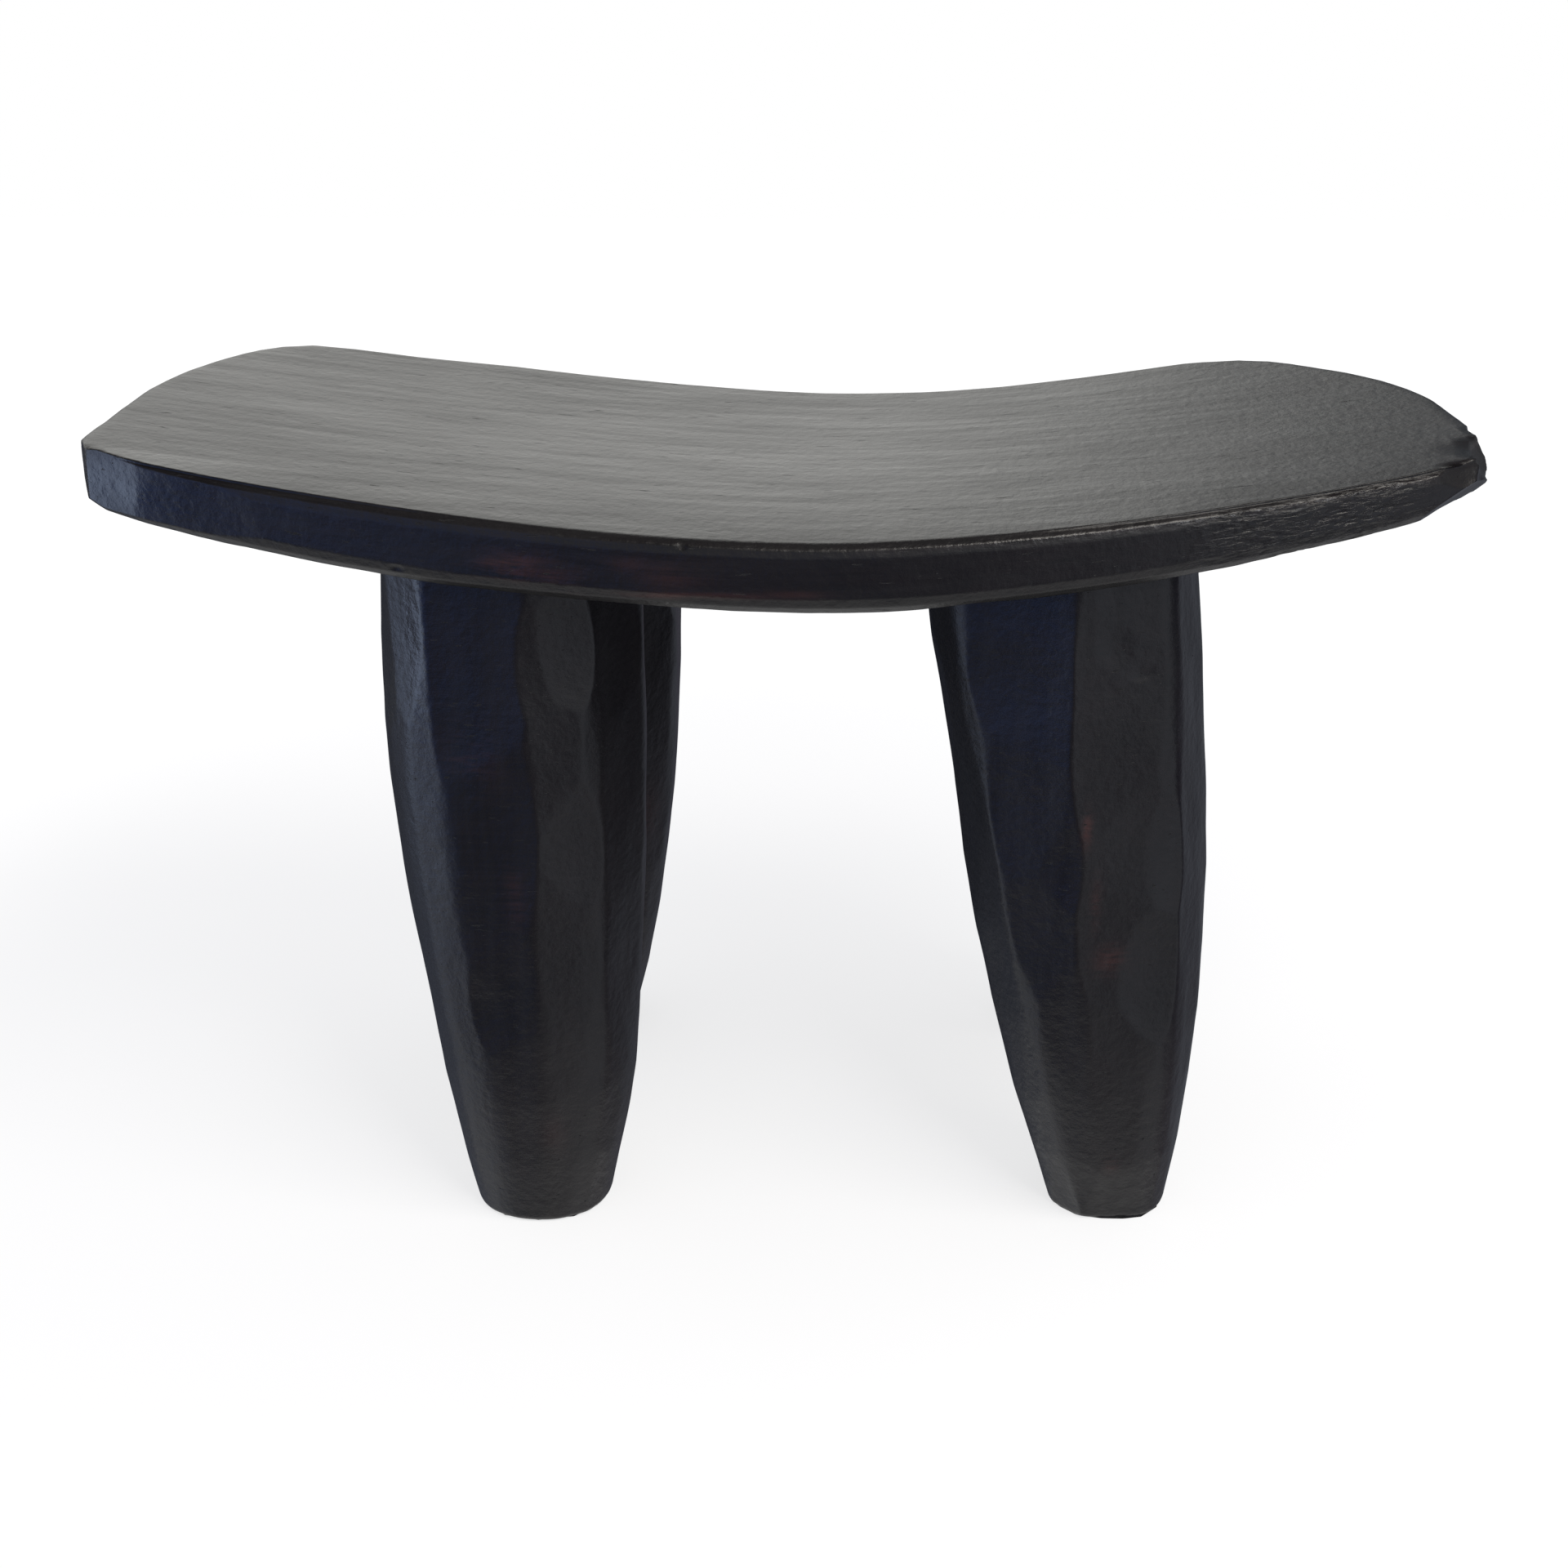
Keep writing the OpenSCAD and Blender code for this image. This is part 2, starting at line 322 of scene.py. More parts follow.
def stained_wood():
    material = bpy.data.materials.new("hand_hewn_hardwood_stained_and_waxed")
    put = cleared(material)
    marks = {
        name: put("ShaderNodeAttribute", attribute_name=name)["Fac"]
        for name in ("dish", "upright", "rubbed", "dusty", "worn", "polished", "weathered")
    }
    raised = put("ShaderNodeCombineXYZ", 0.0, 0.0, marks["dish"])
    place = put("ShaderNodeTexCoord")["Object"]
    place = put("ShaderNodeVectorMath", place, raised, operation="SUBTRACT")

    def figure(length, width, detail, roughness=0.55, upright=False):
        """Noise drawn out into cells of that length and width in millimetres."""
        cell = (width, width, length) if upright else (length, width, width)
        cells = put("ShaderNodeMapping", place, scale=tuple(1 / (size * MM) for size in cell))
        return put("ShaderNodeTexNoise", cells, 1.0, detail, roughness)["Fac"]

    figures = {name: figure(*sizes) for name, sizes in FIGURES.items()}
    grain = figures["grain"]
    patches = figures["patches"]
    # The wax was rubbed on along each piece: along the seat, and up and down the legs
    along_seat = figure(*STREAKS)
    along_legs = figure(*STREAKS, upright=True)
    streaks = put("ShaderNodeMix", marks["upright"], along_seat, along_legs)

    # Coats of colour: stain over the grain, red heartwood where rubbed, a paler painted reflection of the
    # floor low on the legs, paler wood on worn rims, which along the seat's arris is also a painted
    # highlight, and checks, short dark cracks at the peaks of their own noise
    tone = put("ShaderNodeMix", 0.4, grain, patches)
    tone = put("ShaderNodeMapRange", tone, *SPANS["stain"])
    broken = put("ShaderNodeMix", 0.5, grain, patches)
    broken = put("ShaderNodeMapRange", broken, *SPANS["heartwood"])
    # Painted reflection of the floor on the lower legs, broken by the patches' noise
    floor_reflection_breakup = put("ShaderNodeMapRange", patches, *SPANS["dust"], 0.4, 1.0)
    uneven = put("ShaderNodeMapRange", streaks, *SPANS["worn"])
    crack = put("ShaderNodeMapRange", figures["checks"], *SPANS["crack"])
    coats = [(tone, STAIN_LIGHT)]
    for mark, share, code in (
        ("rubbed", broken, HEARTWOOD), ("dusty", floor_reflection_breakup, FLOOR_REFLECTION_TONE), ("worn", uneven, WORN_AND_HIGHLIT_WOOD),
    ):
        coats.append((put("ShaderNodeMath", marks[mark], share, operation="MULTIPLY"), code))
    wood = colour(STAIN_DARK)
    for share, code in [*coats, (crack, CRACK)]:
        wood = put("ShaderNodeMix", share, wood, colour(code), data_type="RGBA")

    # The wax is smooth in some streaks and dull in others; use polishes it, and cracks are dull
    gloss = put("ShaderNodeMapRange", streaks, *SPANS["dull wax"], SMOOTH_WAX, DULL_WAX)
    gloss = put("ShaderNodeMath", marks["polished"], -POLISH, gloss, operation="MULTIPLY_ADD")
    gloss = put("ShaderNodeMath", crack, DULL_CRACK, gloss, operation="MULTIPLY_ADD")

    # Relief: pores and grain lines a few hundredths of a millimetre deep, small marks of the scraper,
    # checks a little deeper, and the fine splits of weathered grain
    split = put("ShaderNodeMapRange", figures["splits"], *SPANS["split"])
    split = put("ShaderNodeMath", split, marks["weathered"], operation="MULTIPLY")
    relief = put("ShaderNodeMix", 0.5, figures["pores"], grain)
    for part, height in (
        (figures["tool marks"], TOOL_MARK_HEIGHT), (crack, -CRACK_DEPTH), (split, -SPLIT_DEPTH),
    ):
        relief = put("ShaderNodeMath", part, height, relief, operation="MULTIPLY_ADD")
    bump = put("ShaderNodeBump", RELIEF_STRENGTH, GRAIN_RELIEF, height=relief)
    shader = put("ShaderNodeBsdfPrincipled", wood, roughness=gloss, ior=WOOD_IOR, normal=bump)
    put("ShaderNodeOutputMaterial", shader)
    return material


WOOD = stained_wood()
print("material:", WOOD.name, "with", len(WOOD.node_tree.nodes), "nodes")

# %% [markdown]
# To carve a piece, a fine net of points is first laid on its solid. Rays find the solid's surface, so
# the net has exactly its size and place. A net is a stack of rings with a point at either end, which
# makes a closed skin with its faces pointing outwards.

# %% Nets over the solids
def solid_of(node, lowered_by=None):
    """The solid of a node, to cast rays on. lowered_by(x) straightens a dished one."""
    mesh = frame["nodes"][node].data
    points = numpy.array([v.co for v in mesh.vertices])
    if lowered_by is not None:
        points[:, 2] -= lowered_by(points[:, 0])
    return BVHTree.FromPolygons(points.tolist(), [tuple(p.vertices) for p in mesh.polygons])


def cast(solid, starts, ways):
    """Where rays from starts, along ways, meet the solid's surface."""
    starts, ways = numpy.broadcast_arrays(numpy.asarray(starts, float), numpy.asarray(ways, float))
    rays = zip(starts.tolist(), ways.tolist())
    return numpy.array([solid.ray_cast(start, way)[0] for start, way in rays])


def skin(name, rings, first, last):
    """A closed mesh over rings of equal size, from the first point to the last."""
    size = len(rings[0])
    points = numpy.vstack([[first], *rings, [last]])
    here = numpy.arange(size)
    after = numpy.roll(here, -1)
    faces = [(0, 1 + b, 1 + a) for a, b in zip(here, after)]
    for ring in range(len(rings) - 1):
        low = 1 + ring * size
        high = low + size
        faces += [(low + a, low + b, high + b, high + a) for a, b in zip(here, after)]
    top = 1 + (len(rings) - 1) * size
    faces += [(top + a, top + b, len(points) - 1) for a, b in zip(here, after)]
    mesh = bpy.data.meshes.new(name)
    mesh.from_pydata(points.tolist(), [], [tuple(int(i) for i in face) for face in faces])
    mesh.shade_smooth()
    piece = bpy.data.objects.new(name, mesh)
    bpy.context.scene.collection.objects.link(piece)
    return piece


def ring_numbers(rings, size):
    """The ring that each point of a skin lies on, counting its two end points to their neighbours."""
    return numpy.concatenate([[0], numpy.repeat(numpy.arange(rings), size), [rings - 1]])


def write_marks(piece, **marks):
    """Store each mark, one number or one vector for each point of a piece."""
    for name, values in marks.items():
        values = numpy.ascontiguousarray(values, numpy.float32)
        kind, field = ("FLOAT", "value") if values.ndim == 1 else ("FLOAT_VECTOR", "vector")
        attribute = piece.data.attributes.get(name) or piece.data.attributes.new(name, kind, "POINT")
        attribute.data.foreach_set(field, values.ravel())


def points_of(piece):
    co = numpy.empty(len(piece.data.vertices) * 3, numpy.float32)
    piece.data.vertices.foreach_get("co", co)
    return co.reshape(-1, 3).astype(float)


def move_points(piece, points):
    piece.data.vertices.foreach_set("co", numpy.ascontiguousarray(points, numpy.float32).ravel())
    piece.data.update()


def surface_of(piece):
    """A piece's surface as it is now, to cast rays on."""
    return BVHTree.FromPolygons(points_of(piece).tolist(), [tuple(p.vertices) for p in piece.data.polygons])


def even(start, end, step):
    """Values from start to end, about a step apart."""
    return numpy.linspace(start, end, max(2, round(abs(end - start) / step) + 1))


def ramp(values, start, end):
    """0 up to start, 1 from end on, and a straight line between them."""
    return numpy.clip((values - start) / (end - start), 0, 1)


def compass(count, turns=None):
    """Unit vectors round the Z axis."""
    turns = numpy.arange(count) * 2 * math.pi / count if turns is None else turns
    return numpy.column_stack([numpy.cos(turns), numpy.sin(turns), 0 * turns])


# %% [markdown]
# The seat is dished, which would make rays along it leave too early. So its solid is straightened
# first, by taking the dish's height away at every x, netted, and dished again. The dish is read off
# the solid along the middle of the seat, where no leg stands.

# %% Height of the seat
seat_low, seat_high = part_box("seat")
DISH_STEP = 10 * MM
RIM_LEFT_OUT = 20 * MM
INSIDE = 10 * MM

seat_solid = solid_of("seat")
dish_x = even(seat_low.x + RIM_LEFT_OUT, seat_high.x - RIM_LEFT_OUT, DISH_STEP)


def profile(below):
    """The seat's height along its middle line, on top or below, as a function of x."""
    start_z = seat_low.z - INSIDE if below else seat_high.z + INSIDE
    starts = numpy.column_stack([dish_x, 0 * dish_x, 0 * dish_x + start_z])
    heights = cast(seat_solid, starts, (0, 0, 1 if below else -1))[:, 2]
    slopes = numpy.gradient(heights, dish_x)

    def height(x):
        inner = numpy.clip(x, dish_x[0], dish_x[-1])
        return numpy.interp(inner, dish_x, heights) + (x - inner) * numpy.interp(inner, dish_x, slopes)

    return height


seat_top = profile(below=False)
seat_under = profile(below=True)
middle = numpy.zeros(1)
print("middle of the seat:", (seat_under(middle) / MM).round(1), "to", (seat_top(middle) / MM).round(1))

# %% [markdown]
# The seat's net is a stack of rings: from the middle of the underside outwards, up the edge and back
# to the middle of the top. The rings on the edge lie three quarters of a millimetre apart, because
# that is where the photograph shows the finest marks. The net then gets what age did to the plank:
# its back edge is warped, its lower front edge sags, its ends swell a little and its top is worn.

# %% Net of the seat
SEAT_SEGMENTS = 1040
BEVEL = 5.5 * MM
ROUND = 13 * MM
EDGE_RINGS = 50
EDGE_INSIDE = 30 * MM
UNDER_RINGS = 26
TOP_RINGS = 16
# The innermost ring of the top and the underside, and the edge's first and last ring, as shares
INNERMOST = 0.03
EDGE_FROM = 0.988
EDGE_TO = 0.012
CROWDING = 1.6
MIDDLE_DEPTH = 12 * MM
# The old plank has warped: how far its back edge is lifted, as pairs of x and height in millimetres
BACK_WARP = [
    (-350, 1.2), (-290, 3.4), (-230, 2.6), (-170, 3.4), (-50, 1.0), (20, -0.4), (80, -1.8), (130, -1.6),
    (180, 0), (240, 2.2), (290, 1.0), (350, 0.6),
]
# How far its lower front edge hangs below the plain taper, likewise
FRONT_SAG = [(-350, 0), (-290, 0.6), (-220, 2.4), (-150, 2.4), (-100, 0.8), (-50, 0), (350, 0)]
# and its ends are not quite alike: bearing from the front, width in degrees, and extra wood
RIM_SWELLS = [(78, 14, 4.5), (113, 11, -8.0), (-67, 10, 4.5), (-112, 16, 5.5)]
# Clothes have worn the top down a little along the front edge
FRONT_WEAR = 1.3 * MM
FRONT_WEAR_WIDTH = 50 * MM

flat_seat = solid_of("seat", seat_top)
trial = cast(flat_seat, (0, 0, -MIDDLE_DEPTH), compass(SEAT_SEGMENTS))
paces = numpy.linalg.norm(numpy.roll(trial, -1, 0) - trial, axis=1)
walked = numpy.concatenate([[0], numpy.cumsum(paces)])
even_turns = numpy.interp(
    numpy.arange(SEAT_SEGMENTS) * walked[-1] / SEAT_SEGMENTS,
    walked, numpy.arange(SEAT_SEGMENTS + 1) * 2 * math.pi / SEAT_SEGMENTS,
)
rim_ways = compass(SEAT_SEGMENTS, even_turns)
rim = cast(flat_seat, (0, 0, -MIDDLE_DEPTH), rim_ways)
rim_reach = numpy.linalg.norm(rim[:, :2], axis=1)


def seat_net():
    """The straightened seat's rings: underside, edge and top, then dished."""
    thickness = seat_top(rim[:, 0]) - seat_under(rim[:, 0])
    rings = []
    for share in numpy.linspace(INNERMOST, 1, UNDER_RINGS):
        ring = rim_ways * ((rim_reach - ROUND) * (1 - (1 - share) ** CROWDING))[:, None]
        ring[:, 2] = seat_under(ring[:, 0]) - seat_top(ring[:, 0])
        rings.append(ring)
    for share in numpy.linspace(EDGE_FROM, EDGE_TO, EDGE_RINGS):
        starts = rim_ways * (rim_reach - EDGE_INSIDE)[:, None]
        starts[:, 2] = -share * thickness
        rings.append(cast(flat_seat, starts, rim_ways))
    for share in numpy.linspace(1, INNERMOST, TOP_RINGS):
        rings.append(rim_ways * ((rim_reach - BEVEL) * (1 - (1 - share) ** CROWDING))[:, None])
    for ring in rings:
        ring[:, 2] += seat_top(ring[:, 0])
    return rings, (0, 0, seat_under(middle)[0]), (0, 0, seat_top(middle)[0])


seat = skin("dished_seat", *seat_net())
points = points_of(seat)
towards_back = numpy.clip(points[:, 1] / seat_high.y, 0, 1) ** 2
points[:, 2] += numpy.interp(points[:, 0] / MM, *zip(*BACK_WARP)) * MM * towards_back
at_front = rim[:, 1] < 0
front_line = rim[at_front][numpy.argsort(rim[at_front, 0])]
front_y = numpy.interp(points[:, 0], front_line[:, 0], front_line[:, 1])
near_front = numpy.clip(1 - (points[:, 1] - front_y) / FRONT_WEAR_WIDTH, 0, 1)
under = seat_under(points[:, 0])
share_up = ramp(points[:, 2], under, seat_top(points[:, 0]))
points[:, 2] -= FRONT_WEAR * near_front ** 2 * share_up
sag = numpy.interp(points[:, 0] / MM, *zip(*FRONT_SAG)) * MM
points[:, 2] -= sag * near_front ** 2 * (1 - share_up)
for bearing, width, thickness in RIM_SWELLS:
    turn = numpy.degrees(numpy.arctan2(points[:, 0], -points[:, 1]))
    share = numpy.hypot(points[:, 0], points[:, 1])[:, None] / abs(seat_low.x)
    bulge = numpy.exp(-((turn - bearing) / width) ** 2)[:, None] * thickness * MM * share ** 4
    points[:, :2] += bulge * compass(1, numpy.radians([bearing - 90]))[:, :2]
move_points(seat, points)
print("seat net:", len(seat.data.polygons), "faces")

# %% [markdown]
# A leg's net climbs from the middle of its foot, up the side, in over the shoulder and round the
# tenon. The solid has twelve equal flats that only stand for the hewn surface. They are rounded off
# here, and the real leg's own flats are hewn instead: each lies between two ridges, and a ridge has
# a bearing under the seat and another one at the foot. Down the leg the flats fade into its round
# foot. The ridges wander a little, because the axe did, and here and there it left more wood or less.

# %% Nets of the legs
LEG_SEGMENTS = 340
LEG_STEP = 1.35 * MM
ROUND_OFF = 14
WOOD_TO_HEW = 1.6 * MM
RIDGE_ROUND = 6
FLATS_FADE_LOW = 40 * MM
FLATS_FADE_HIGH = 170 * MM
FLATS_AT_FOOT = 0.3
RIDGE_WANDER = 0.5
# The waves of a ridge's wandering: length in millimetres, phase from ridge to ridge, and height
WANDER_WAVES = [(17, 2.1, 1), (47, 4.7, 2)]
SOLE_SHARES = (0.1, 0.3, 0.5, 0.7, 0.85, 0.96)
SOLE_HEIGHT = 2.5 * MM
OUTSIDE = 150 * MM
RIM_TRIES = 5
UNDER_SEAT = 0.5 * MM
END_SLICE = 1 * MM
BELOW_SHOULDER = 25 * MM
FIRST_RING = 0.4 * MM
BELOW_TENON_END = 2 * MM
ROUND_TENON = 0.2 * MM
SHOULDER_RINGS = 5
SHOULDER_FROM = 0.985
TENON_SHARES = (0, 1)
END_SHARES = (0.9,)
LEG_WAYS = compass(LEG_SEGMENTS)
LEG_BEARINGS = numpy.degrees(numpy.arctan2(LEG_WAYS[:, 0], -LEG_WAYS[:, 1]))

# Bearings of each leg's ridges from the front, to the right, in degrees: under the seat, at the foot
RIDGES = {
    "front_left_leg": [
        (10, 12), (40, 50), (86, 84), (118, 118), (152, 150), (183, 180), (214, 212), (246, 246),
        (270, 270), (297, 302), (311, 322), (327, 346),
    ],
    "front_right_leg": [
        (361, 348), (50, 34), (88, 84), (119, 121), (147, 149), (180, 178), (212, 210), (241, 243),
        (272, 272), (304, 328),
    ],
    "back_left_leg": [
        (12, 8), (44, 40), (74, 76), (104, 102), (138, 136), (166, 170), (196, 196), (228, 226),
        (262, 262), (294, 292), (330, 326),
    ],
    "back_right_leg": [
        (-6, -4), (28, 32), (64, 62), (96, 98), (128, 126), (160, 164), (196, 192), (222, 226),
        (258, 256), (290, 290), (322, 324),
    ],
}
# Where hewing left more wood than the plain taper, or less: bearing, height, width and thickness
SWELLS = {
    "front_left_leg": [(-90, 245, 90, 4.6), (-90, 395, 50, -3.0), (90, 78, 48, 2.5), (-90, 20, 30, 1.2)],
    "front_right_leg": [
        (-80, 350, 60, 3.2), (-85, 270, 35, -1.0), (-88, 185, 40, 1.2), (-88, 50, 60, 1.4),
        (-62, 0, 22, 3.5), (5, 0, 25, -2.5), (88, 180, 120, 1.6), (-15, 393, 9, 2.0), (30, 393, 11, 2.4),
    ],
    "back_left_leg": [(-90, 200, 80, 1.0)],
    "back_right_leg": [(60, 220, 80, 1.0)],
}
SWELL_ANGLE = 35


def around(values, width):
    """Running mean of values round a ring."""
    return sum(numpy.roll(values, shift) for shift in range(-width, width + 1)) / (2 * width + 1)


def leg_axis(node):
    """Middle of the foot and middle of the tenon's end."""
    points = numpy.array([v.co for v in frame["nodes"][node].data.vertices])
    foot = points[points[:, 2] < END_SLICE]
    end = points[points[:, 2] > points[:, 2].max() - END_SLICE]
    return [(group.min(0) + group.max(0)) / 2 for group in (foot, end)]


def hewn(node, z):
    """How far flats between the ridges cut into a round leg at height z, as a share of its reach."""
    climb = float(numpy.clip(z / seat_under(middle)[0], 0, 1))
    corners = []
    for number, (high, low) in enumerate(RIDGES[node]):
        wander = sum(
            height * math.sin(z / (length * MM) + phase * number) for length, phase, height in WANDER_WAVES
        )
        corners.append((low + (high - low) * climb + RIDGE_WANDER * wander) % 360)
    corners = numpy.sort(corners)
    corners = numpy.concatenate([corners[-1:] - 360, corners, corners[:1] + 360])
    bearings = LEG_BEARINGS % 360
    flat = numpy.searchsorted(corners, bearings, side="right") - 1
    middle_of_flat = (corners[flat] + corners[flat + 1]) / 2
    half_width = (corners[flat + 1] - corners[flat]) / 2
    left = numpy.cos(numpy.radians(half_width)) / numpy.cos(numpy.radians(bearings - middle_of_flat))
    strength = FLATS_AT_FOOT + (1 - FLATS_AT_FOOT) * ramp(z, FLATS_FADE_LOW, FLATS_FADE_HIGH)
    return 1 - (1 - around(left, RIDGE_ROUND)) * strength


def swell(node, z):
    """Extra wood at height z, round the leg."""
    extra = numpy.zeros(LEG_SEGMENTS)
    for bearing, height, width, thickness in SWELLS[node]:
        turn = (LEG_BEARINGS - bearing + 180) % 360 - 180
        extra += thickness * MM * numpy.exp(-(turn / SWELL_ANGLE) ** 2 - ((z / MM - height) / width) ** 2)
    return extra


def leg_net(node):
    """Rings of a leg from foot to tenon, its end points, and the number of the shoulder's rim."""
    solid = solid_of(node)
    foot, end = leg_axis(node)
    shoulder_low = seat_under(numpy.array([foot[0], end[0]])).min() - BELOW_SHOULDER

    def axis(z):
        """The leg's middle line at a height for each bearing."""
        centre = foot + (end - foot) * numpy.clip(z / shoulder_low, 0, 1)[:, None]
        centre[:, 2] = z
        return centre

    def side(z):
        """Where rays from outside meet the leg at a height for each bearing."""
        return cast(solid, axis(z) + LEG_WAYS * OUTSIDE, -LEG_WAYS)

    rings = []
    above_sole = axis(numpy.full(LEG_SEGMENTS, SOLE_HEIGHT))
    sole = cast(solid, above_sole, LEG_WAYS) - above_sole
    for share in SOLE_SHARES:
        starts = foot + sole * share
        starts[:, 2] = INSIDE
        rings.append(cast(solid, starts, (0, 0, -1)))
    # The side ends where it meets the seat's underside, which rises towards the seat's ends
    rim_top = numpy.full(LEG_SEGMENTS, shoulder_low)
    for _ in range(RIM_TRIES):
        rim_top = seat_under(side(rim_top)[:, 0]) - UNDER_SEAT
    for share in even(FIRST_RING, rim_top.mean(), LEG_STEP) / rim_top.mean():
        centre = axis(rim_top * share)
        reach = numpy.linalg.norm((side(rim_top * share) - centre)[:, :2], axis=1)
        height = share * rim_top.mean()
        reach = (around(reach, ROUND_OFF) + WOOD_TO_HEW) * hewn(node, height) + swell(node, height)
        rings.append(centre + LEG_WAYS * reach[:, None])
    rim_ring = len(rings)
    tenon = cast(solid, end - numpy.array((0, 0, BELOW_TENON_END)), LEG_WAYS) - end
    tenon_reach = numpy.linalg.norm(tenon[:, :2], axis=1)
    edge = rings[-1]
    inner = end + LEG_WAYS * (tenon_reach + ROUND_TENON)[:, None]
    for share in numpy.linspace(SHOULDER_FROM, 0, SHOULDER_RINGS):
        ring = inner + (edge - inner) * share
        ring[:, 2] = seat_under(ring[:, 0])
        rings.append(ring)
    root = rings[-1][:, 2]
    for share in TENON_SHARES:
        ring = end + LEG_WAYS * tenon_reach[:, None]
        ring[:, 2] = root + (end[2] - root) * share
        rings.append(ring)
    for share in END_SHARES:
        rings.append(end + LEG_WAYS * (tenon_reach * share)[:, None])
    return rings, foot, end, rim_ring


# %% [markdown]
# Over the flats the adze and the knife left small shallow scoops. They repeat all over the legs and
# under the seat, so Geometry Nodes make them. Points are scattered on the net, each becomes one cut
# with its own depth and tilt, and a Repeat zone moves every point of the net that stands above the
# cut down onto it. A smooth maximum keeps the ridges slightly worn. Cuts that the photograph shows
# clearly come in one by one through an object of points.

# %% Adze cuts with Geometry Nodes
# Each tree's inputs, with a number to start from or the kind of thing that goes in
ADZE_INPUTS = {
    "Hand cuts": "Object", "Spacing": 30 * MM, "Depth": 0.8 * MM, "Blade radius": 250 * MM,
    "Swing radius": 700 * MM, "Tilt": 0.05, "Softness": 0.6 * MM, "Unevenness": 0.8 * MM, "Seed": 1,
    "Material": "Material",
}
NUMBER_KINDS = {float: "Float", int: "Int"}
CUT_FIELDS = {
    "facing": "FLOAT_VECTOR", "swing_way": "FLOAT_VECTOR", "depth": "FLOAT", "blade": "FLOAT",
    "swing": "FLOAT", "softness": "FLOAT",
}
CANDIDATES = 60000.0
SHALLOWEST = 0.4
UNEVEN_CELL = 40 * MM


def new_tree(name, inputs):
    """A Geometry Nodes tree with named inputs, add for it, and the outputs of its input node."""
    tree = bpy.data.node_groups.new(name, "GeometryNodeTree")
    tree.interface.new_socket("Geometry", in_out="INPUT", socket_type="NodeSocketGeometry")
    tree.interface.new_socket("Geometry", in_out="OUTPUT", socket_type="NodeSocketGeometry")
    for label, value in inputs.items():
        kind = NUMBER_KINDS.get(type(value), value)
        socket = tree.interface.new_socket(label, in_out="INPUT", socket_type="NodeSocket" + kind)
        if value != kind:
            socket.default_value = value
    put = partial(add, tree)
    return tree, put, put("NodeGroupInput")


def close_tree(put, given, geometry, height):
    """Push the surface out by a height, give it its material and end the tree."""
    normal = put("GeometryNodeInputNormal")["Normal"]
    push = put("ShaderNodeVectorMath", normal, scale=height, operation="SCALE")
    pushed = put("GeometryNodeSetPosition", geometry, offset=push)
    real = put("GeometryNodeRealizeInstances", pushed)
    put("NodeGroupOutput", put("GeometryNodeSetMaterial", real, material=given["Material"]))


